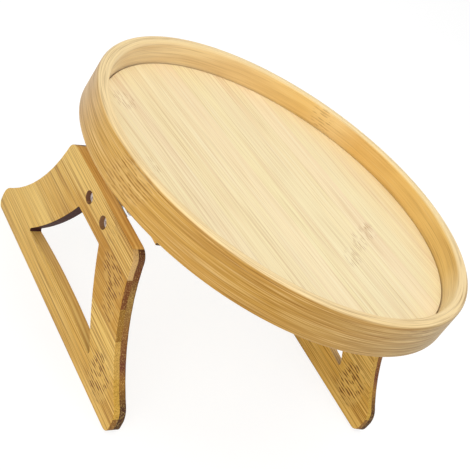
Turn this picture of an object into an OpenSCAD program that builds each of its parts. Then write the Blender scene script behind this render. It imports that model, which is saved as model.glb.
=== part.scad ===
// Round bamboo tray on two folding legs that straddle the arm of a sofa.
// The origin is on the ground under the tray's centre, +Z is up, and X runs from leg to leg.
// Each side is drawn at +X and mirrored for the left, with its leg at the angle it stands at.

/* [Tray] */
// Outside diameter of the rim
tray_d = 300; // [282:2:360]
// Height of the rim
rim_h = 28; // [20:1:40]
// Thickness of the rim's wall at the floor
rim_t = 11; // [9:0.5:14]
// How much wider the well is at its mouth than at the floor, on each side
rim_flare = 2; // [0:0.5:3]
// Rounding of the rim's upper edges
rim_round = 3; // [1:0.25:3.25]
// Rounding of the rim's lower edges
rim_base_round = 1.5; // [0.5:0.1:3]
// Thickness of the floor board
floor_t = 6; // [4:0.5:8]
// Height of the floor board's underside above the rim's lower edge
floor_recess = 4; // [3.5:0.5:5.5]
// Thickness of the tongue round the floor board's edge
tongue_t = 3; // [2:0.5:3.5]
// Depth of the groove in the rim that holds the tongue
groove_d = 4; // [2:0.5:5]

/* [Battens] */
// Length of each batten under the floor
batten_l = 109; // [90:1:120]
// Width of each batten
batten_w = 30; // [28:1:45]
// Height of each batten
batten_h = 15; // [14:1:30]
// How far a batten reaches outwards past its hinge pin
batten_reach = 3; // [0:0.2:3]
// Bevel along a batten's lower edges
batten_bevel = 0.6; // [0.4:0.2:3]
// Distance between the two screws in a batten
batten_screw_pitch = 74; // [60:2:90]

/* [Hinges] */
// Distance from the rim's outside to the hinge pin
hinge_inset = 29.8; // [28:0.1:45]
// Length of a hinge along its pin
leaf_l = 38; // [34:1:60]
// Width of a leaf from the pin to its free edge
leaf_w = 26; // [24:1:27]
// Thickness of a leaf
leaf_t = 1.5; // [1.2:0.1:1.7]
// Outside diameter of a knuckle
knuckle_d = 8; // [8:0.5:10]
// Diameter of the hinge pin
pin_d = 4; // [3:0.2:4.4]
// Diameter of the pin's peened ends
pin_head_d = 6; // [5:0.5:7]
// Length of each peened end
pin_head_h = 1.2; // [0.8:0.1:2]

/* [Legs] */
// Height of a leg along its own face
leg_h = 104.5; // [80:0.5:110]
// Thickness of a leg
leg_t = 9; // [8:0.5:10.5]
// Width of a leg along its top edge
leg_top_w = 109; // [90:1:130]
// Width of a leg across its foot
leg_foot_w = 217; // [190:1:240]
// Height of the upright side of the foot
foot_side_h = 16; // [12:1:20]
// Radius of the hollow sides
side_r = 138; // [120:1:220]
// Rounding of the two upper corners
top_corner_r = 9; // [3:0.5:11]
// Rounding where a hollow side meets the foot
shoulder_r = 14; // [3:0.5:16]
// Rounding of the two lower corners
foot_corner_r = 5; // [2:0.5:8]
// Height of the bar above the window
top_bar_h = 26; // [22:0.5:30]
// Height of the bar below the window, at the window's corners
foot_bar_h = 19; // [15:0.5:30]
// How much higher that bar is at its middle
foot_bar_rise = 3.5; // [0.5:0.5:8]
// Width of the window along its top
window_top_w = 36; // [24:1:44]
// Width of the window along its foot
window_foot_w = 122; // [100:1:126]
// Radius of the window's hollow sides
window_side_r = 240; // [150:5:400]
// Rounding of the window's corners
window_corner_r = 1.5; // [1:0.5:5]
// Distance from the hinge pin to a leg's top edge
leg_gap = 3.4; // [3.2:0.1:4]
// How far a standing leg leans inwards, in degrees
leg_lean = 6.9; // [0:0.1:10]

/* [Fasteners] */
// Shank diameter of the wood screws
screw_d = 3.5; // [3:0.1:4]
// Head diameter of the wood screws
screw_head_d = 6.2; // [5.8:0.1:6.6]
// Length of the screws that hold a leaf to its batten
leaf_screw_l = 12; // [10:1:15]
// Depth to which the batten screws are sunk
batten_screw_sink = 2; // [0:0.5:3]
// How far the batten screws bite into the floor board
batten_screw_bite = 3; // [2:0.5:3.5]
// Distance from the pin to the outer pair of leaf screws
leaf_screw_row = 11; // [9:0.5:12]
// Distance from the pin to the inner leaf screw
leaf_screw_inner = 19.5; // [19:0.5:21]
// Distance between the outer pair of leaf screws
leaf_screw_pitch = 24; // [20:1:28]
// Shank diameter of the leg bolts
bolt_d = 4; // [3.4:0.1:4.4]
// Head diameter of the leg bolts
bolt_head_d = 8; // [7:0.1:8.4]
// Head height of the leg bolts
bolt_head_h = 2.6; // [2:0.1:3]
// Diameter of the counterbores in a leg
counterbore_d = 9; // [8.6:0.1:11]
// Depth of the counterbores in a leg
counterbore_h = 5; // [4:0.5:5.5]
// Distance between the two bolts of a leg
bolt_pitch = 24.2; // [20:0.2:28]
// Distance from a leg's top edge to its bolts
bolt_drop = 12.9; // [10:0.1:14]
// Size of a nut across its flats
nut_flats = 7; // [6:0.5:8]
// Height of a nut
nut_h = 3.2; // [2.4:0.1:3.4]

/* [Fits] */
// Radial gap between a pin, bolt or screw and its hole
hole_gap = 0.06; // [0.02:0.01:0.1]
// Gap between neighbouring knuckles, and round a knuckle in the other leaf's notch
knuckle_gap = 0.4; // [0.2:0.1:0.6]
// Gap round the floor board's edge and round its tongue
floor_gap = 0.25; // [0.1:0.05:0.3]

/* [Hidden] */
$fn = 64;
left = 1;
right = 0;
knuckles = 5;
corner_steps = 6;
side_steps = 10;
foot_steps = 6;
past = 1;
tray_r = tray_d / 2;
knuckle_r = knuckle_d / 2;
well_r = tray_r - rim_t;
groove_r = well_r + groove_d;
axis_x = tray_r - hinge_inset;
axis_z = (leg_gap + leg_h) * cos(leg_lean) + (knuckle_r + leg_t) * sin(leg_lean);
batten_z = axis_z + knuckle_r;
batten_x = axis_x + batten_reach - batten_w / 2;
floor_z = batten_z + batten_h;
rim_z = floor_z - floor_recess;
knuckle_pitch = leaf_l / knuckles;
knuckle_l = knuckle_pitch - knuckle_gap;
leaf_hole_r = screw_d / 2 + hole_gap;
screw_head_h = (screw_head_d - screw_d) / 2;
batten_screw_l = batten_h - batten_screw_sink + batten_screw_bite;
bolt_l = leg_t - counterbore_h + leaf_t + nut_h;
bolt_hole_r = bolt_d / 2 + hole_gap;
// Screw places on a fixed leaf, as the distance inwards from the pin and the place along it
leaf_screws = [[leaf_screw_row, -leaf_screw_pitch / 2], [leaf_screw_row, leaf_screw_pitch / 2],
    [leaf_screw_inner, 0]];

bamboo = [0.85, 0.68, 0.40];
pale_bamboo = [0.95, 0.86, 0.66];
steel = [0.66, 0.67, 0.69];

// Arc from p to q of radius r, with its centre to the left of the way from p to q
function bow(p, q, r, steps) =
    let (run = norm(q - p))
    let (rise = sqrt(r * r - run * run / 4))
    let (centre = (p + q) / 2 + rise * [p.y - q.y, q.x - p.x] / run)
    let (start = atan2(p.y - centre.y, p.x - centre.x))
    let (sweep = 2 * asin(run / (2 * r)))
    [for (i = [0 : steps]) centre + r * [cos(start + sweep * i / steps), sin(start + sweep * i / steps)]];

// Arc of radius r that eases the corner b between the points a and c
function eased_corner(a, b, c, r) =
    let (u = (a - b) / norm(a - b))
    let (v = (c - b) / norm(c - b))
    let (half = acos(u * v) / 2)
    let (centre = b + (u + v) / norm(u + v) * r / sin(half))
    let (from = b + u * r / tan(half) - centre)
    let (to = b + v * r / tan(half) - centre)
    let (turn = 2 * (90 - half) * sign(from.x * to.y - from.y * to.x))
    let (start = atan2(from.y, from.x))
    [for (i = [0 : corner_steps]) centre + r * [cos(start + turn * i / corner_steps),
        sin(start + turn * i / corner_steps)]];

// Closed outline through points of the form [x, y, r], where r above zero eases that corner
function eased(points) =
    let (n = len(points))
    let (flat = [for (p = points) [p.x, p.y]])
    [for (i = [0 : n - 1]) each points[i][2] == 0 ? [flat[i]]
        : eased_corner(flat[(i + n - 1) % n], flat[i], flat[(i + 1) % n], points[i][2])];

// Right half of a closed outline followed by its mirror image, from the top centre round and back
function both_halves(half) =
    concat(half, [for (i = [len(half) - 1 : -1 : 0]) [-half[i].x, half[i].y, half[i][2]]]);

// A hollow side from a top corner to a foot corner, with the easing of each
function hollow_side(top, foot, r, top_ease, foot_ease) =
    let (curve = bow(top, foot, r, side_steps))
    [for (i = [0 : side_steps]) [curve[i].x, curve[i].y,
        i == 0 ? top_ease : i == side_steps ? foot_ease : 0]];

// The right side's children as they are, or mirrored for the left side
module mirrored(side) {
    mirror([side, 0, 0]) children();
}

// Frame of a standing leg: the pin is at the origin, +X points outwards and -Z down the leg
module leg_frame() {
    translate([axis_x, 0, axis_z]) rotate([0, leg_lean, 0]) children();
}

// Rod along X
module rod_x(r, l) {
    rotate([0, 90, 0]) cylinder(r = r, h = l);
}

module rim_profile() {
    groove_top = floor_recess + tongue_t;
    polygon(eased([[tray_r, 0, rim_base_round], [tray_r, rim_h, rim_round],
        [well_r + rim_flare, rim_h, rim_round], [well_r, floor_recess + floor_t, 0],
        [well_r, groove_top, 0], [groove_r, groove_top, 0], [groove_r, floor_recess, 0],
        [well_r, floor_recess, 0], [well_r, 0, rim_base_round]]));
}

module tray_rim() {
    color(bamboo) translate([0, 0, rim_z]) rotate_extrude($fn = 180) rim_profile();
}

module tray_floor() {
    color(pale_bamboo) difference() {
        translate([0, 0, floor_z]) union() {
            cylinder(r = well_r - floor_gap, h = floor_t, $fn = 180);
            cylinder(r = groove_r - floor_gap, h = tongue_t, $fn = 180);
        }
        for (side = [left, right]) mirrored(side) batten_screw_places() screw_hole(batten_screw_l);
    }
}

// Children at each batten screw, with the underside of its head at the origin
module batten_screw_places() {
    for (y = [-1, 1] * batten_screw_pitch / 2)
        translate([batten_x, y, batten_z + batten_screw_sink]) children();
}

// Children at each leaf screw, with the underside of its head at the origin
module leaf_screw_places() {
    for (p = leaf_screws) translate([axis_x - p.x, p.y, batten_z - leaf_t]) children();
}

// Hole for a countersunk wood screw that points up, with its mouth at the origin
module screw_hole(l) {
    cylinder(r = leaf_hole_r, h = l + past / 2, $fn = 32);
    cylinder(r1 = screw_head_d / 2 + hole_gap, r2 = leaf_hole_r, h = screw_head_h, $fn = 32);
}

// Countersunk wood screw that points up, with the flat of its head at the origin
module wood_screw(l) {
    tip = screw_d;
    slot_w = screw_d * 0.28;
    slot_l = screw_head_d * 0.62;
    slot_h = screw_head_h * 0.6;
    difference() {
        rotate_extrude($fn = 32) polygon([[0, 0], [screw_head_d / 2, 0], [screw_d / 2, screw_head_h],
            [screw_d / 2, l - tip], [0, l]]);
        for (turn = [0, 90]) rotate([0, 0, turn]) translate([-slot_l / 2, -slot_w / 2, -past])
            cube([slot_l, slot_w, slot_h + past]);
    }
}

module batten() {
    color(bamboo) difference() {
        translate([batten_x, batten_l / 2, batten_z]) rotate([90, 0, 0]) linear_extrude(batten_l)
            polygon([[-batten_w / 2, batten_bevel], [-batten_w / 2 + batten_bevel, 0],
                [batten_w / 2 - batten_bevel, 0], [batten_w / 2, batten_bevel],
                [batten_w / 2, batten_h], [-batten_w / 2, batten_h]]);
        batten_screw_places() union() {
            screw_hole(batten_screw_l);
            translate([0, 0, -batten_screw_sink - past])
                cylinder(r = screw_head_d / 2 + hole_gap, h = batten_screw_sink + past, $fn = 32);
        }
        leaf_screw_places() screw_hole(leaf_screw_l);
    }
}

module batten_screws() {
    color(steel) batten_screw_places() wood_screw(batten_screw_l);
}

module leaf_screws() {
    color(steel) leaf_screw_places() wood_screw(leaf_screw_l);
}

// Knuckles of one leaf round the pin at the origin, each of the given radius and extra length
module knuckle_rods(first, r, extra) {
    for (i = [first : 2 : knuckles - 1])
        translate([0, (i - knuckles / 2) * knuckle_pitch + (knuckle_gap - extra) / 2, 0])
            rotate([-90, 0, 0]) cylinder(r = r, h = knuckle_l + extra, $fn = 48);
}

// Bare leaf with its pin at the origin: the plate runs towards -X at the top of the knuckles
module leaf(first) {
    other = 1 - first;
    notch_depth = knuckle_r + knuckle_gap;
    difference() {
        union() {
            difference() {
                translate([-leaf_w, -(leaf_l - knuckle_gap) / 2, knuckle_r - leaf_t])
                    cube([leaf_w, leaf_l - knuckle_gap, leaf_t]);
                for (i = [other : 2 : knuckles - 1])
                    translate([-notch_depth, (i - knuckles / 2) * knuckle_pitch - knuckle_gap / 2, 0])
                        cube([notch_depth + past, knuckle_pitch + knuckle_gap, knuckle_r + past]);
            }
            knuckle_rods(first, knuckle_r, 0);
        }
        rotate([90, 0, 0]) cylinder(r = pin_d / 2 + hole_gap, h = leaf_l + past, center = true, $fn = 48);
    }
}

module fixed_leaf() {
    color(steel) difference() {
        translate([axis_x, 0, axis_z]) leaf(0);
        leaf_screw_places() screw_hole(leaf_screw_l);
    }
}

// Children at each leg bolt, in the leg's frame, with the bolt's axis along X through the pin's plane
module bolt_places() {
    for (y = [-1, 1] * bolt_pitch / 2) translate([0, y, -leg_gap - bolt_drop]) children();
}

module moving_leaf() {
    color(steel) leg_frame() difference() {
        rotate([0, 90, 0]) mirror([1, 0, 0]) leaf(1);
        bolt_places() rod_x(bolt_hole_r, knuckle_r + past);
    }
}

module hinge_pin() {
    half_l = (leaf_l - knuckle_gap) / 2;
    color(steel) translate([axis_x, 0, axis_z]) rotate([90, 0, 0]) rotate_extrude($fn = 48)
        polygon([[0, -half_l - pin_head_h], [pin_head_d / 3, -half_l - pin_head_h],
            [pin_head_d / 2, -half_l - pin_head_h / 2], [pin_head_d / 2, -half_l], [pin_d / 2, -half_l],
            [pin_d / 2, half_l], [pin_head_d / 2, half_l], [pin_head_d / 2, half_l + pin_head_h / 2],
            [pin_head_d / 3, half_l + pin_head_h], [0, half_l + pin_head_h]]);
}

// Outline of a leg, with its top edge on the X axis
module leg_outline() {
    side = hollow_side([leg_top_w / 2, 0], [leg_foot_w / 2, foot_side_h - leg_h], side_r,
        top_corner_r, shoulder_r);
    polygon(eased(both_halves(concat(side, [[leg_foot_w / 2, -leg_h, foot_corner_r]]))));
}

// Outline of the window in a leg, with its foot bowed up in the middle
module window_outline() {
    foot = [window_foot_w / 2, foot_bar_h - leg_h];
    side = hollow_side([window_top_w / 2, -top_bar_h], foot, window_side_r, window_corner_r,
        window_corner_r);
    foot_r = (foot.x * foot.x + foot_bar_rise * foot_bar_rise) / (2 * foot_bar_rise);
    foot_arc = [for (i = [1 : foot_steps - 1]) let (x = foot.x * (1 - i / foot_steps))
        [x, foot.y + foot_bar_rise - foot_r + sqrt(foot_r * foot_r - x * x), 0]];
    polygon(eased(both_halves(concat(side, foot_arc))));
}

module leg() {
    color(bamboo) leg_frame() difference() {
        translate([knuckle_r, 0, -leg_gap]) rotate([90, 0, 90]) linear_extrude(leg_t) difference() {
            leg_outline();
            window_outline();
        }
        bolt_places() union() {
            translate([knuckle_r - past, 0, 0]) rod_x(bolt_hole_r, leg_t + 2 * past);
            translate([knuckle_r + leg_t - counterbore_h, 0, 0])
                rod_x(counterbore_d / 2, counterbore_h + past);
        }
    }
}

// Pan-head bolt along -X, with the underside of its head at the origin
module bolt() {
    slot_w = bolt_d * 0.25;
    slot_l = bolt_head_d * 0.55;
    slot_h = bolt_head_h * 0.5;
    rotate([0, 90, 0]) difference() {
        rotate_extrude($fn = 48) polygon([[0, -bolt_l], [bolt_d / 2 - 0.4, -bolt_l],
            [bolt_d / 2, 0.4 - bolt_l], [bolt_d / 2, 0], [bolt_head_d / 2, 0],
            [bolt_head_d / 2, bolt_head_h * 0.45], [bolt_head_d * 0.44, bolt_head_h * 0.75],
            [bolt_head_d * 0.32, bolt_head_h * 0.95], [bolt_head_d * 0.2, bolt_head_h], [0, bolt_head_h]]);
        for (turn = [0, 90]) rotate([0, 0, turn])
            translate([-slot_l / 2, -slot_w / 2, bolt_head_h - slot_h])
                cube([slot_l, slot_w, slot_h + past]);
    }
}

module leg_bolts() {
    color(steel) leg_frame() bolt_places() translate([knuckle_r + leg_t - counterbore_h, 0, 0]) bolt();
}

module leg_nuts() {
    color(steel) leg_frame() bolt_places() translate([knuckle_r - leaf_t - nut_h, 0, 0]) difference() {
        rotate([0, 90, 0]) cylinder(d = nut_flats / cos(30), h = nut_h, $fn = 6);
        translate([-past, 0, 0]) rod_x(bolt_hole_r, nut_h + 2 * past);
    }
}

tray_rim();
tray_floor();
mirrored(left) batten();  // left_batten
mirrored(right) batten();  // right_batten
mirrored(left) batten_screws();  // left_batten_screws
mirrored(right) batten_screws();  // right_batten_screws
mirrored(left) fixed_leaf();  // left_fixed_leaf
mirrored(right) fixed_leaf();  // right_fixed_leaf
mirrored(left) leaf_screws();  // left_leaf_screws
mirrored(right) leaf_screws();  // right_leaf_screws
mirrored(left) hinge_pin();  // left_hinge_pin
mirrored(right) hinge_pin();  // right_hinge_pin
mirrored(left) moving_leaf();  // left_moving_leaf
mirrored(right) moving_leaf();  // right_moving_leaf
mirrored(left) leg();  // left_leg
mirrored(right) leg();  // right_leg
mirrored(left) leg_bolts();  // left_leg_bolts
mirrored(right) leg_bolts();  // right_leg_bolts
mirrored(left) leg_nuts();  // left_leg_nuts
mirrored(right) leg_nuts();  // right_leg_nuts
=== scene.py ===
# Round bamboo tray on two folding legs that straddle the arm of a sofa.
import math

import bpy
from mathutils import Matrix, Vector


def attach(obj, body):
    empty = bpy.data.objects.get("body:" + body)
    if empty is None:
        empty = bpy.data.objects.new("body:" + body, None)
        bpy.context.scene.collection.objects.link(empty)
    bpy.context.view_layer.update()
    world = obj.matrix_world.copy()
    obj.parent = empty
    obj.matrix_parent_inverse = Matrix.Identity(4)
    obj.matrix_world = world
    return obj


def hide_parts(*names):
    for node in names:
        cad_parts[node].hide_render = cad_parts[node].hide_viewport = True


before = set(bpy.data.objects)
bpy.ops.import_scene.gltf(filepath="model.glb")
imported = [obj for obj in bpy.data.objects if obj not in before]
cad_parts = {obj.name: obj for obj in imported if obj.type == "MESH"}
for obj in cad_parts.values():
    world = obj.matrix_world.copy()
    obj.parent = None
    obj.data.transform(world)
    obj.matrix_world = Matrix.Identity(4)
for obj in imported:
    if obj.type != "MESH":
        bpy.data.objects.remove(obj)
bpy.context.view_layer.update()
print("frame loaded:", len(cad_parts), "nodes")


def paint(red, green, blue):
    # a screen colour from 0 to 255 as the linear colour that a socket takes
    screen = [channel / 255 for channel in (red, green, blue)]
    return tuple(c / 12.92 if c < 0.04045 else ((c + 0.055) / 1.055) ** 2.4 for c in screen) + (1.0,)


class Wire:
    # a value on its way between two nodes, which sums and products work on
    def __init__(self, bench, socket):
        self.bench = bench
        self.socket = socket

    def __add__(self, other):
        return self.bench.maths("ADD", self, other)

    def __sub__(self, other):
        return self.bench.maths("SUBTRACT", self, other)

    def __rsub__(self, other):
        return self.bench.maths("SUBTRACT", other, self)

    def __mul__(self, other):
        return self.bench.maths("MULTIPLY", self, other)

    def __truediv__(self, other):
        return self.bench.maths("DIVIDE", self, other)

    __radd__ = __add__
    __rmul__ = __mul__


class Bench:
    # one material and the few tools that its pattern is made with
    def __init__(self, name):
        self.material = bpy.data.materials.new(name)
        self.material.use_nodes = True
        self.tree = self.material.node_tree
        self.tree.nodes.clear()

    def add(self, kind, settings=None, feeds=None, output=0):
        node = self.tree.nodes.new("ShaderNode" + kind)
        for key, value in (settings or {}).items():
            if key == "stops":
                stops = node.color_ramp.elements
                while len(stops) < len(value):
                    stops.new(1.0)
                for stop, (place, colour) in zip(stops, value):
                    stop.position = place
                    stop.color = colour
            elif key == "interpolation":
                node.color_ramp.interpolation = value
            else:
                setattr(node, key, value)
        for key, value in (feeds or {}).items():
            if isinstance(value, Wire):
                self.tree.links.new(value.socket, node.inputs[key])
            else:
                node.inputs[key].default_value = value
        return Wire(self, node.outputs[output])

    def maths(self, operation, *values):
        return self.add("Math", {"operation": operation}, dict(enumerate(values)))

    def dot(self, vector, direction):
        feeds = {0: vector, 1: tuple(direction)}
        return self.add("VectorMath", {"operation": "DOT_PRODUCT"}, feeds, "Value")

    def stack(self, x, y, z):
        return self.add("CombineXYZ", None, {0: x, 1: y, 2: z})

    def noise(self, vector, detail=2.0, roughness=0.5, w=None):
        settings = {"noise_dimensions": "3D" if w is None else "4D"}
        feeds = {"Vector": vector, "Scale": 1.0, "Detail": detail, "Roughness": roughness}
        if w is not None:
            feeds["W"] = w
        return self.add("TexNoise", settings, feeds, "Fac")

    def step(self, value, low, high, least=0.0, most=1.0):
        # least below low, most above high, and a soft rise between them
        settings = {"interpolation_type": "SMOOTHSTEP", "clamp": True}
        feeds = {0: value, 1: low, 2: high, 3: least, 4: most}
        return self.add("MapRange", settings, feeds)

    def mix(self, share, first, second, blend="MIX"):
        settings = {"data_type": "RGBA", "blend_type": blend, "clamp_factor": True}
        return self.add("Mix", settings, {0: share, 6: first, 7: second}, 2)

    def ramp(self, value, stops, interpolation="LINEAR"):
        return self.add("ValToRGB", {"stops": stops, "interpolation": interpolation}, {0: value}, "Color")

    def pick(self, number, values):
        # the value that belongs to a numbered strip: a colour, or a share as a grey
        colours = [value if isinstance(value, tuple) else (value, value, value, 1.0) for value in values]
        stops = [(i / len(colours), colour) for i, colour in enumerate(colours)]
        return self.ramp((number + 0.5) / len(colours), stops, "CONSTANT")

    def finish(self, colour, roughness, height, depth, gloss):
        # satin lacquer over the pattern, with the pattern's own relief
        bump = self.add("Bump", None, {"Height": height, "Distance": depth, "Strength": 1.0}, "Normal")
        feeds = {"Base Color": colour, "Roughness": roughness, "Normal": bump}
        feeds.update(gloss)
        shader = self.add("BsdfPrincipled", None, feeds, "BSDF")
        out = self.tree.nodes.new("ShaderNodeOutputMaterial")
        self.tree.links.new(shader.socket, out.inputs["Surface"])
        return self.material


def growthRings(bench, across, along, marks):
    # where a bamboo culm had its rings: short dashes, dark above 0 and pale below
    patches = 0.0
    for middleAcross, middleAlong, halfAcross, halfAlong, slant, strength in marks:
        u = (across - middleAcross) / halfAcross
        v = (along - middleAlong - (across - middleAcross) * slant) / halfAlong
        patches = bench.step(u * u * u * u + v * v, 0.3, 1.0, strength, 0.0) + patches
    drift = bench.noise(bench.stack(across * 90, along * 90, 7.1), 1.0)
    rows = bench.maths("SINE", across * 3100 + drift * 4)
    gaps = bench.noise(bench.stack(across * 500, along * 150, 3.3), 1.0, 0.5)
    return patches * bench.step(rows + (gaps - 0.5) * 6, 0.1, 1.3, -0.3, 0.9)


def plankPattern(bench, look):
    # glued bamboo strips with fibres and growth rings, and two plies where the edges show them
    place = bench.add("TexCoord", None, None, "Object")
    facing = bench.add("TexCoord", None, None, "Normal")
    across = bench.dot(place, look["acrossWay"]) - look["acrossStart"]
    along = bench.dot(place, look["alongWay"])
    deep = bench.dot(place, look["deepWay"]) - look["deepStart"]
    strips = across / look["stripWidth"]
    number = bench.maths("FLOOR", strips)
    inStrip = strips - number
    toEdge = bench.maths("MINIMUM", inStrip, 1 - inStrip) * look["stripWidth"]
    shift = number * 3.7

    broad = bench.noise(bench.stack(across * 95, along * 7 + shift, deep * 40), 1.0)
    streaks = bench.noise(bench.stack(across * 560, along * 10 + shift, deep * 300), 3.0, 0.62)
    fibres = bench.noise(bench.stack(across * 1150, along * 11 + shift, deep * 1150), 1.0, 0.6)
    face = bench.pick(number, look["tones"])
    face = bench.mix(bench.step(broad, 0.45, 0.75) * look["broadShare"], face, look["broadTone"])
    dark = bench.step(streaks, 0.52, 0.68) * bench.pick(number, look["streakShares"])
    face = bench.mix(dark, face, look["streakTone"])
    face = bench.mix(bench.step(streaks, 0.47, 0.3) * look["paleShare"], face, look["paleTone"])
    face = bench.mix(bench.step(fibres, 0.49, 0.62) * look["fibreShare"], face, look["streakTone"])
    face = bench.mix(bench.step(fibres, 0.47, 0.36) * look["fibreShare"], face, look["paleTone"])
    face = bench.mix(bench.step(along, -0.03, 0.09) * look["paleEnd"], face, look["paleTone"])
    dusk = bench.step(along, 0.012, -0.03) * bench.pick(number, look["duskShares"])
    face = bench.mix(dusk, face, look["broadTone"])
    glue = bench.step(toEdge, 0.0001, 0.0005, 1.0, 0.0) * bench.pick(number, look["glueShares"])
    face = bench.mix(glue, face, look["streakTone"])
    rings = growthRings(bench, across, along, look["rings"])
    face = bench.mix(rings, face, look["ringTone"])
    face = bench.mix(0 - rings, face, look["paleTone"])

    backPly = bench.step(deep + (broad - 0.5) * 0.0012, look["plyDepth"] - 0.0003, look["plyDepth"] + 0.0003)
    pores = bench.noise(bench.stack(across * 1500, along * 70, deep * 1500), 1.0, 0.6)
    end = bench.mix(backPly, bench.pick(number, look["endTones"]), bench.ramp(across / look["width"], look["backStops"]))
    end = bench.mix(bench.step(pores, 0.52, 0.64) * 0.3, end, look["poreAndEdgeShadeTone"])
    end = bench.mix(bench.step(pores, 0.45, 0.34) * 0.3, end, look["paleTone"])
    turned = bench.dot(facing, look["alongWay"])
    # painted shade: the walls that face inward along the strips, the side walls of the leg's window, take a dark tone
    # that stands in for shade
    end = bench.mix(bench.step(along * turned, 0.0, -0.004), end, look["paintedShadeTone"])
    # painted shade: a thin dark line along the edge of the cut ends at the board's far face
    end = bench.mix(bench.step(deep, look["thickness"] - 0.0009, look["thickness"] - 0.0002) * 0.6, end, look["poreAndEdgeShadeTone"])
    flat = bench.step(bench.maths("ABSOLUTE", bench.dot(facing, look["deepWay"])), 0.55, 0.8)
    endOn = bench.step(bench.maths("ABSOLUTE", turned), 0.15, 0.35) * (1 - flat)
    colour = bench.mix(endOn, face, end)

    lines = bench.noise(bench.stack(along * 14, deep * 800, 4.0), 2.0, 0.6)
    # painted light: faces that look up or down the board (its top and foot edges, the window's top and foot walls)
    # take edge-grain tones written lighter than the wood, standing in for light that the rim's overhang keeps off
    # them
    edge = bench.mix(bench.step(lines, 0.4, 0.62), look["edgePale"], look["edgeDark"])
    edge = bench.mix(backPly * 0.35, edge, look["edgeDark"])
    edgeOn = bench.step(bench.maths("ABSOLUTE", bench.dot(facing, look["acrossWay"])), 0.94, 0.985)
    colour = bench.mix(edgeOn, colour, edge)
    besideAlong = bench.maths("ABSOLUTE", along) - look["boltAlong"]
    besideAcross = across - look["boltAcross"]
    fromBolt = bench.maths("SQRT", besideAlong * besideAlong + besideAcross * besideAcross)
    # the bolt recesses' walls take a darker brown: partly the raw drilled wood, partly painted shade in the recess
    colour = bench.mix(bench.step(fromBolt, 0.0052, 0.0048) * (1 - flat) * 0.85, colour, look["drilledWoodAndShadeTone"])

    roughness = bench.step(streaks, 0.3, 0.7, look["smooth"], look["smooth"] + 0.16) + endOn * 0.35
    height = streaks * 0.5 + fibres * 0.5 - glue * 0.6 - bench.maths("ABSOLUTE", rings) * 0.4
    return bench.finish(colour, roughness, height, look["relief"], lacquer)


def turnFrom(bench, place, degrees):
    # the angle round the tray's centre, which is 0 at the given bearing
    bearing = math.radians(degrees)
    ahead = (math.cos(bearing), math.sin(bearing), 0)
    aside = (-math.sin(bearing), math.cos(bearing), 0)
    return bench.maths("ARCTAN2", bench.dot(place, aside), bench.dot(place, ahead))


def rimPattern(bench, look):
    # bent bamboo: fibres run round the rim, and thin plies show on its upper edge
    place = bench.add("TexCoord", None, None, "Object")
    x, y, z = (bench.dot(place, way) for way in ((1, 0, 0), (0, 1, 0), (0, 0, 1)))
    radius = bench.maths("SQRT", x * x + y * y)
    roundX, roundY = x / radius, y / radius
    facing = bench.add("TexCoord", None, None, "Normal")
    up = bench.dot(facing, (0, 0, 1))
    outward = bench.dot(facing, (1, 0, 0)) * roundX + bench.dot(facing, (0, 1, 0)) * roundY
    inner = bench.step(outward, 0.1, -0.3)
    top = bench.step(up, 0.4, 0.85)
    height = z - look["low"]
    outerTurn = turnFrom(bench, place, 225)
    innerTurn = turnFrom(bench, place, 45)

    broad = bench.noise(bench.stack(roundX * 2.2, roundY * 2.2, z * 110), 1.0, 0.5, radius * 60)
    streaks = bench.noise(bench.stack(roundX * 2.4, roundY * 2.4, z * 900), 3.0, 0.6, radius * 700)
    fibres = bench.noise(bench.stack(roundX * 3.2, roundY * 3.2, z * 1500), 1.0, 0.6, radius * 1500)
    # painted light and shade: the outer wall's colour runs round the rim from a bearing of 225°, the bamboo's own
    # tone with lighter, darker and greyer stretches where light falls more or less
    outerColourWithPaintedLight = bench.ramp(outerTurn / (2 * math.pi) + 0.5, look["outerWallRampWithPaintedLight"])
    # painted light: the inner wall's colour runs round the rim from a bearing of 45°, the bamboo's own tone with
    # stretches written lighter to stand in for light
    innerColourWithPaintedLight = bench.ramp(innerTurn / (2 * math.pi) + 0.5, look["innerWallRampWithPaintedLight"])
    wall = bench.mix(inner, outerColourWithPaintedLight, innerColourWithPaintedLight)
    colour = bench.mix(top, wall, look["topTone"])
    colour = bench.mix(bench.step(broad, 0.4, 0.75) * look["broadShare"] * (1 - top * 0.5), colour, look["broadTone"])
    lined = bench.step(height, 0.015, 0.023, look["streakShare"], look["streakShare"] + 0.3) * (1 - inner * 0.55)
    nearSide = bench.step(outerTurn, 0.1, 0.9) * bench.step(outerTurn, 2.0, 1.4)  # where plies show on top
    dark = bench.step(streaks, 0.5, 0.7) * lined * (1 - top * (0.5 - nearSide * 0.35))
    colour = bench.mix(dark, colour, look["streakTone"])
    colour = bench.mix(bench.step(streaks, 0.47, 0.3) * look["paleShare"], colour, look["paleTone"])
    fibreShare = look["fibreShare"] * (1 - inner * 0.6)
    colour = bench.mix(bench.step(fibres, 0.49, 0.62) * fibreShare, colour, look["streakTone"])
    colour = bench.mix(bench.step(fibres, 0.47, 0.36) * fibreShare, colour, look["paleTone"])

    rings = growthRings(bench, height, outerTurn * look["outer"], look["outerRings"]) * (1 - inner)
    rings = rings + growthRings(bench, height, innerTurn * look["outer"], look["innerRings"]) * inner
    rings = rings * (1 - top * 0.8)
    colour = bench.mix(rings, colour, look["ringTone"])
    colour = bench.mix(0 - rings, colour, look["paleTone"])

    roughness = bench.step(streaks, 0.3, 0.7, look["smooth"], look["smooth"] + 0.16)
    relief = streaks * 0.5 + fibres * 0.5 - bench.maths("ABSOLUTE", rings) * 0.4
    return bench.finish(colour, roughness, relief, look["relief"], lacquer)


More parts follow.
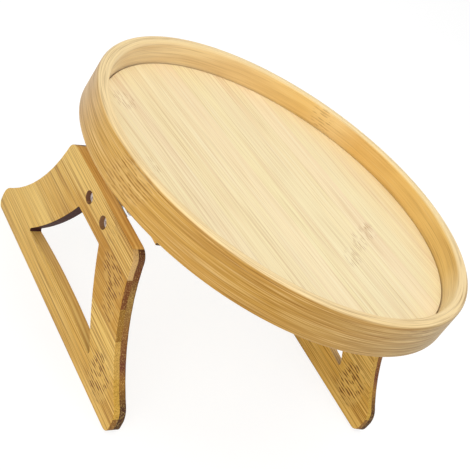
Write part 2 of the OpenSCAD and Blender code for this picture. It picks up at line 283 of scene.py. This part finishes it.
def steelPattern(bench, look):
    # bright plated steel with fine drawn lines and a little dullness
    place = bench.add("TexCoord", None, None, "Object")
    x, y, z = (bench.dot(place, way) for way in ((1, 0, 0), (0, 1, 0), (0, 0, 1)))
    drawn = bench.noise(bench.stack(x * 2500, y * 160, z * 2500), 2.0, 0.6)
    cloud = bench.noise(bench.stack(x * 180, y * 180, z * 180), 3.0, 0.6)
    colour = bench.mix(bench.step(cloud, 0.35, 0.7), look["bright"], look["dull"])
    roughness = bench.step(drawn, 0.3, 0.7, look["smooth"], look["smooth"] + 0.14)
    return bench.finish(colour, roughness, drawn, 0.00002, {"Metallic": look["metal"]})


lacquer = {"IOR": 1.45, "Specular IOR Level": 0.3, "Coat Weight": 0.06, "Coat Roughness": 0.3}

legLean = math.radians(6.9)  # the same lean as the standing legs
legHinge = (0.1202, 0.10868)


def legLook(side):
    # the pattern's directions on the leg at x > 0 (side 1) or x < 0 (side -1)
    down = Vector((-side * math.sin(legLean), 0, -math.cos(legLean)))
    through = Vector((math.cos(legLean), 0, -side * math.sin(legLean)))  # from the board's -x face to its +x face
    hinge = Vector((side * legHinge[0], 0, legHinge[1]))
    return {
        "acrossWay": down, "acrossStart": hinge.dot(down) + 0.0034, "alongWay": (0, 1, 0),
        "deepWay": through, "deepStart": hinge.dot(through) + (0.004 if side > 0 else -0.013),
        "stripWidth": 0.0183, "width": 0.1045, "thickness": 0.009, "plyDepth": 0.0042,
        "tones": [paint(226, 184, 96), paint(204, 152, 54), paint(212, 162, 66), paint(231, 189, 98),
                  paint(224, 177, 80), paint(226, 181, 88)],
        "broadTone": paint(184, 128, 34), "broadShare": 0.32,
        "streakTone": paint(132, 76, 8), "streakShares": [0.46, 0.9, 0.75, 0.4, 0.55, 0.5],
        "paleTone": paint(240, 206, 122), "paleShare": 0.45, "paleEnd": 0.3, "fibreShare": 0.6,
        "glueShares": [0.2, 0.3, 0.55, 0.5, 0.2, 0.2], "duskShares": [0.1, 0.75, 0.45, 0.0, 0.15, 0.1],
        "ringTone": paint(104, 56, 8),
        "rings": [(0.009, -0.025, 0.009, 0.010, 0.2, 0.35), (0.0275, -0.045, 0.0105, 0.019, -0.4, 0.9),
                  (0.0445, -0.054, 0.0095, 0.011, -0.4, 0.65), (0.085, -0.078, 0.0155, 0.017, -0.2, 1.0)],
        "endTones": [paint(214, 174, 112), paint(124, 72, 32), paint(156, 112, 40), paint(204, 160, 76),
                     paint(204, 158, 64), paint(146, 102, 46)],
        "backStops": [(0.0, paint(100, 64, 40)), (0.16, paint(112, 60, 30)), (0.3, paint(158, 124, 62)),
                      (0.46, paint(148, 100, 46)), (0.65, paint(112, 58, 38)), (0.72, paint(160, 112, 46)),
                      (0.82, paint(78, 46, 24)), (1.0, paint(76, 46, 26))],
        # paintedShadeTone is painted shade for the window's side walls
        # poreAndEdgeShadeTone colours the pores and also the painted shade line on the far edge of the cut ends
        "poreAndEdgeShadeTone": paint(52, 28, 18), "paintedShadeTone": paint(62, 28, 22),
        # the edge tones are written light: painted light on edges that lie in the rim's shade
        "edgePale": paint(252, 212, 126), "edgeDark": paint(222, 170, 88),
        "boltAlong": 0.0121, "boltAcross": 0.0129, "drilledWoodAndShadeTone": paint(132, 92, 66),
        "smooth": 0.42, "relief": 0.0001,
    }


floorTurn = math.radians(7)  # the floor's strips lie a little askew to the leg hinges
floorLook = {
    "acrossWay": (math.cos(floorTurn), math.sin(floorTurn), 0), "acrossStart": -0.1421,
    "alongWay": (math.sin(floorTurn), -math.cos(floorTurn), 0), "deepWay": (0, 0, 1), "deepStart": 0.12768,
    "stripWidth": 0.02165, "width": 0.282, "thickness": 0.006, "plyDepth": 0.003,
    "tones": [paint(243, 223, 172), paint(246, 227, 177), paint(249, 229, 183), paint(249, 230, 179),
              paint(250, 231, 182), paint(252, 231, 184), paint(250, 233, 181), paint(250, 233, 185),
              paint(250, 231, 181), paint(253, 232, 187), paint(250, 233, 183), paint(250, 230, 179),
              paint(248, 227, 175)],
    "broadTone": paint(234, 202, 158), "broadShare": 0.5,
    "streakTone": paint(192, 154, 98),
    "streakShares": [0.38, 0.38, 0.4, 0.42, 0.34, 0.3, 0.4, 0.28, 0.42, 0.28, 0.24, 0.26, 0.24],
    "paleTone": paint(252, 240, 206), "paleShare": 0.4, "paleEnd": 0.1, "fibreShare": 0.24,
    "glueShares": [0.16] * 13, "duskShares": [0.0, 0.1],
    "ringTone": paint(176, 128, 70),
    "rings": [(0.1856, 0.0525, 0.011, 0.010, -0.55, 0.65), (0.2071, 0.041, 0.0115, 0.009, -0.4, 0.65),
              (0.1636, 0.0685, 0.0105, 0.010, -0.5, 0.5), (0.0506, -0.082, 0.0105, 0.012, -0.3, 0.5),
              (0.0326, -0.014, 0.0035, 0.010, 0.0, 0.45)],
    "endTones": [paint(214, 178, 116), paint(196, 156, 92)],
    "backStops": [(0.0, paint(206, 166, 100)), (1.0, paint(190, 150, 88))],
    "poreAndEdgeShadeTone": paint(120, 80, 40), "paintedShadeTone": paint(150, 110, 60),
    "edgePale": paint(216, 180, 118), "edgeDark": paint(186, 144, 84),
    "boltAlong": 0.0121, "boltAcross": 0.0129, "drilledWoodAndShadeTone": paint(160, 120, 76),
    "smooth": 0.44, "relief": 0.00005,
}

battenLook = dict(legLook(1))
battenLook.update({
    "acrossWay": (1, 0, 0), "acrossStart": 0.09, "deepWay": (0, 0, 1), "deepStart": 0.11268,
    "stripWidth": 0.0152, "thickness": 0.015, "plyDepth": 0.008,
    "rings": [], "endTones": [paint(84, 54, 30), paint(60, 38, 22)],
    "backStops": [(0.0, paint(70, 44, 26)), (1.0, paint(96, 62, 34))],
})

rimLook = {
    "low": 0.12368, "outer": 0.15,
    # outer wall ramp: bamboo tone with painted light and shade round the rim
    "outerWallRampWithPaintedLight": [(0.0, paint(205, 170, 112)), (0.3, paint(216, 180, 126)), (0.36, paint(212, 165, 80)),
                   (0.42, paint(210, 162, 76)), (0.47, paint(198, 150, 66)), (0.53, paint(184, 137, 54)),
                   (0.6, paint(186, 147, 80)), (0.68, paint(178, 150, 96)), (1.0, paint(205, 170, 112))],
    # inner wall ramp: bamboo tone with painted light round the rim
    "innerWallRampWithPaintedLight": [(0.0, paint(236, 208, 150)), (0.236, paint(244, 220, 168)), (0.29, paint(236, 198, 118)),
                   (0.453, paint(236, 190, 106)), (0.48, paint(242, 206, 138)), (0.514, paint(238, 197, 118)),
                   (0.653, paint(242, 216, 166)), (0.764, paint(242, 222, 182)), (1.0, paint(234, 204, 144))],
    "topTone": paint(247, 220, 164),
    "broadTone": paint(188, 136, 62), "broadShare": 0.3,
    "streakTone": paint(132, 84, 24), "streakShare": 0.5,
    "paleTone": paint(242, 210, 146), "paleShare": 0.45, "fibreShare": 0.28,
    "ringTone": paint(132, 82, 30),
    "outerRings": [(0.0155, -0.0877, 0.015, 0.022, 0.4, 0.48), (0.0225, 0.140, 0.003, 0.022, 0.0, 0.35)],
    "innerRings": [(0.0195, -0.005, 0.009, 0.012, 0.3, 0.4)],
    "smooth": 0.4, "relief": 0.0001,
}

boltSteel = {"bright": paint(236, 228, 222), "dull": paint(206, 194, 188), "smooth": 0.42, "metal": 0.45}
hingeSteel = {"bright": paint(206, 206, 210), "dull": paint(172, 172, 176), "smooth": 0.28, "metal": 1.0}
screwSteel = {"bright": paint(204, 196, 190), "dull": paint(160, 150, 144), "smooth": 0.3, "metal": 1.0}

materials = {
    "rim": rimPattern(Bench("bentBamboo"), rimLook),
    "floor": plankPattern(Bench("paleBambooBoard"), floorLook),
    "batten": plankPattern(Bench("battenBamboo"), battenLook),
    "rightLeg": plankPattern(Bench("rightLegBamboo"), legLook(1)),
    "leftLeg": plankPattern(Bench("leftLegBamboo"), legLook(-1)),
    "hinge": steelPattern(Bench("hingeSteel"), hingeSteel),
    "bolt": steelPattern(Bench("boltSteel"), boltSteel),
    "screw": steelPattern(Bench("screwSteel"), screwSteel),
}
print("materials made:", len(materials))


def only(piece):
    # this piece alone is selected and active
    if bpy.context.object and bpy.context.object.mode != "OBJECT":
        bpy.ops.object.mode_set(mode="OBJECT")
    bpy.ops.object.select_all(action="DESELECT")
    piece.select_set(True)
    bpy.context.view_layer.objects.active = piece


def applyAll(piece):
    only(piece)
    for modifier in list(piece.modifiers):
        bpy.ops.object.modifier_apply(modifier=modifier.name)


def settle(piece, materialName, slotName, body, *nodes):
    piece.data.materials.clear()
    piece.data.materials.append(materials[materialName])
    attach(piece, body)
    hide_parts(*nodes)


def easedCopy(nodeName, pieceName, easing, steps=3):
    # a merged copy of a CAD node with its sharp edges eased
    piece = bpy.data.objects.new(pieceName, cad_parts[nodeName].data.copy())
    bpy.context.scene.collection.objects.link(piece)
    only(piece)
    bpy.ops.object.mode_set(mode="EDIT")
    bpy.ops.mesh.select_all(action="SELECT")
    bpy.ops.mesh.remove_doubles(threshold=0.000004)
    bpy.ops.mesh.dissolve_limited(angle_limit=math.radians(0.3))
    bpy.ops.object.mode_set(mode="OBJECT")
    bpy.ops.object.shade_smooth_by_angle(angle=math.radians(32))
    bevel = piece.modifiers.new("easedEdges", "BEVEL")
    bevel.width = easing
    bevel.segments = steps
    bevel.limit_method = "ANGLE"
    bevel.angle_limit = math.radians(32)
    bevel.miter_outer = "MITER_ARC"
    even = piece.modifiers.new("evenNormals", "WEIGHTED_NORMAL")
    even.keep_sharp = True
    even.weight = 100
    applyAll(piece)
    return piece


rim = {
    "outer": 0.150, "wall": 0.011, "flare": 0.002, "low": 0.12368, "height": 0.028,
    "topEasing": 0.003, "footEasing": 0.0015, "turns": 256,
}


def rimPiece(size):
    # a plane stood up as the wall's section, eased, then spun round the tray's centre
    middle = size["outer"] - size["wall"] / 2
    bpy.ops.object.select_all(action="DESELECT")
    bpy.ops.mesh.primitive_plane_add(size=1, location=(middle, 0, size["low"] + size["height"] / 2),
                                     rotation=(math.pi / 2, 0, 0))
    piece = bpy.context.object
    piece.name = "bentRim"
    piece.scale = (size["wall"], size["height"], 1)
    bpy.ops.object.transform_apply(location=True, rotation=True, scale=True)
    data = piece.data
    top = size["low"] + size["height"]

    def pick(wanted):
        bpy.ops.object.mode_set(mode="EDIT")
        bpy.ops.mesh.select_mode(type="VERT")
        bpy.ops.mesh.select_all(action="DESELECT")
        bpy.ops.object.mode_set(mode="OBJECT")
        for vertex in data.vertices:
            vertex.select = wanted(vertex.co)
        bpy.ops.object.mode_set(mode="EDIT")

    pick(lambda co: co.z > top - 0.001 and co.x < middle)
    bpy.ops.transform.translate(value=(size["flare"], 0, 0))
    pick(lambda co: co.z > top - 0.001)
    bpy.ops.mesh.bevel(offset=size["topEasing"], offset_type="OFFSET", segments=8, affect="VERTICES")
    pick(lambda co: co.z < size["low"] + 0.0001)
    bpy.ops.mesh.bevel(offset=size["footEasing"], offset_type="OFFSET", segments=6, affect="VERTICES")
    bpy.ops.mesh.select_all(action="SELECT")
    bpy.ops.mesh.delete(type="ONLY_FACE")
    bpy.ops.mesh.select_all(action="SELECT")
    bpy.ops.mesh.spin(steps=size["turns"], angle=2 * math.pi, center=(0, 0, 0), axis=(0, 0, 1))
    bpy.ops.mesh.select_all(action="SELECT")
    bpy.ops.mesh.remove_doubles(threshold=0.000004)
    bpy.ops.mesh.normals_make_consistent(inside=False)
    bpy.ops.object.mode_set(mode="OBJECT")
    bpy.ops.object.shade_smooth_by_angle(angle=math.radians(32))
    return piece


settle(rimPiece(rim), "rim", "bamboo_rim", "tray", "tray_rim")
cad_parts["tray_floor"].data.materials.clear()
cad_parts["tray_floor"].data.materials.append(materials["floor"])
print("tray dressed")

for side in ("left", "right"):
    legBody = side + "_leg"
    leg = easedCopy(legBody, side + "LegBoard", 0.0013)
    settle(leg, side + "Leg", "bamboo_leg", legBody, legBody)
    batten = easedCopy(side + "_batten", side + "Batten", 0.0005)
    settle(batten, "batten", "bamboo_batten", "tray", side + "_batten")
    for node, easing, material, slotName, body in (
            ("_fixed_leaf", 0.00025, "hinge", "hinge_steel", "tray"),
            ("_moving_leaf", 0.00025, "hinge", "hinge_steel", legBody),
            ("_hinge_pin", 0.0002, "hinge", "pin_steel", "tray"),
            ("_leg_bolts", 0.00012, "bolt", "screw_steel", legBody),
            ("_leg_nuts", 0.0002, "screw", "screw_steel", legBody),
            ("_leaf_screws", 0.0001, "screw", "screw_steel", "tray"),
            ("_batten_screws", 0.0001, "screw", "screw_steel", "tray")):
        words = node.split("_")[1:]
        pieceName = side + "".join(word.capitalize() for word in words)
        piece = easedCopy(side + node, pieceName, easing, 2)
        settle(piece, material, slotName, body, side + node)
    print(side, "leg dressed")

# floor, light and camera
stageFacts = {"half": 8.0, "tone": (0.86, 0.86, 0.86, 1.0), "glow": 0.84, "shadowTone": (0.25, 0.25, 0.25, 1.0),
              "ambient": 0.475}


def sightRays(bench):
    # 1 for the rays of the camera, of gloss and of glass, and 0 for the rays that light the object
    camera, gloss, glass = (bench.add("LightPath", None, None, kind) for kind in
                            ("Is Camera Ray", "Is Glossy Ray", "Is Transmission Ray"))
    return bench.maths("MINIMUM", camera + gloss + glass, 1.0)


def studio(size):
    bench = Bench("studioFloor")
    plain = bench.add("BsdfDiffuse", None, {"Color": size["tone"]}, "BSDF")
    shaded = bench.add("BsdfDiffuse", None, {"Color": size["shadowTone"]}, "BSDF")
    glow = bench.add("Emission", None, {"Color": (1, 1, 1, 1), "Strength": size["glow"]}, "Emission")
    white = bench.add("AddShader", None, {0: shaded, 1: glow}, "Shader")
    both = bench.add("MixShader", None, {0: sightRays(bench), 1: plain, 2: white}, "Shader")
    out = bench.tree.nodes.new("ShaderNodeOutputMaterial")
    bench.tree.links.new(both.socket, out.inputs["Surface"])
    bpy.ops.object.select_all(action="DESELECT")
    bpy.ops.mesh.primitive_plane_add(size=2 * size["half"], location=(0, 0, 0))
    ground = bpy.context.object
    ground.name = "studioFloor"
    ground.data.materials.append(bench.material)

    world = bpy.data.worlds.new("paleRoom")
    bpy.context.scene.world = world
    world.use_nodes = True
    nodes, links = world.node_tree.nodes, world.node_tree.links
    nodes.clear()
    path = nodes.new("ShaderNodeLightPath")
    anyRay = None
    for kind in ("Is Camera Ray", "Is Glossy Ray", "Is Transmission Ray"):
        if anyRay is None:
            anyRay = path.outputs[kind]
            continue
        either = nodes.new("ShaderNodeMath")
        either.operation = "MAXIMUM"
        links.new(anyRay, either.inputs[0])
        links.new(path.outputs[kind], either.inputs[1])
        anyRay = either.outputs[0]
    choice = nodes.new("ShaderNodeMixShader")
    links.new(anyRay, choice.inputs[0])
    for place, strength in ((1, size["ambient"]), (2, 1.0)):
        sky = nodes.new("ShaderNodeBackground")
        sky.inputs["Color"].default_value = (1, 1, 1, 1)
        sky.inputs["Strength"].default_value = strength
        links.new(sky.outputs[0], choice.inputs[place])
    worldOut = nodes.new("ShaderNodeOutputWorld")
    links.new(choice.outputs[0], worldOut.inputs["Surface"])


def lamp(name, size, place, target, power):
    data = bpy.data.lights.new(name, "AREA")
    data.shape = "DISK"
    data.size = size
    data.energy = power
    light = bpy.data.objects.new(name, data)
    bpy.context.scene.collection.objects.link(light)
    light.location = place
    light.rotation_euler = (Vector(target) - Vector(place)).to_track_quat("-Z", "Y").to_euler()


studio(stageFacts)
lamp("overhead", 1.3, (0.1, 0.05, 1.3), (0, 0, 0.1), 7)
lamp("frontKey", 0.6, (-1.1, -0.55, 0.85), (0, 0, 0.08), 3)
lamp("lowFill", 0.6, (-1.3, -0.7, 0.25), (0, 0, 0.08), 5.5)
lamp("sideFill", 0.8, (0.4, -1.3, 0.5), (0, 0, 0.08), 2.5)

cameraFacts = {
    "place": (-0.54902, -0.48465, 0.46243), "right": (0.74195, -0.42816, 0.51593),
    "up": (-0.10937, 0.68192, 0.72321), "back": (-0.66147, -0.59301, 0.45912), "lens": 87.82,
}


def photoCamera(facts):
    data = bpy.data.cameras.new("photoCamera")
    data.lens = facts["lens"]
    data.sensor_width = 36
    camera = bpy.data.objects.new("photoCamera", data)
    bpy.context.scene.collection.objects.link(camera)
    turn = Matrix((facts["right"], facts["up"], facts["back"])).transposed()
    camera.matrix_world = Matrix.Translation(facts["place"]) @ turn.to_4x4()
    bpy.context.scene.camera = camera


photoCamera(cameraFacts)
bpy.context.scene.view_settings.view_transform = "Standard"
print("stage, lamps and camera ready")
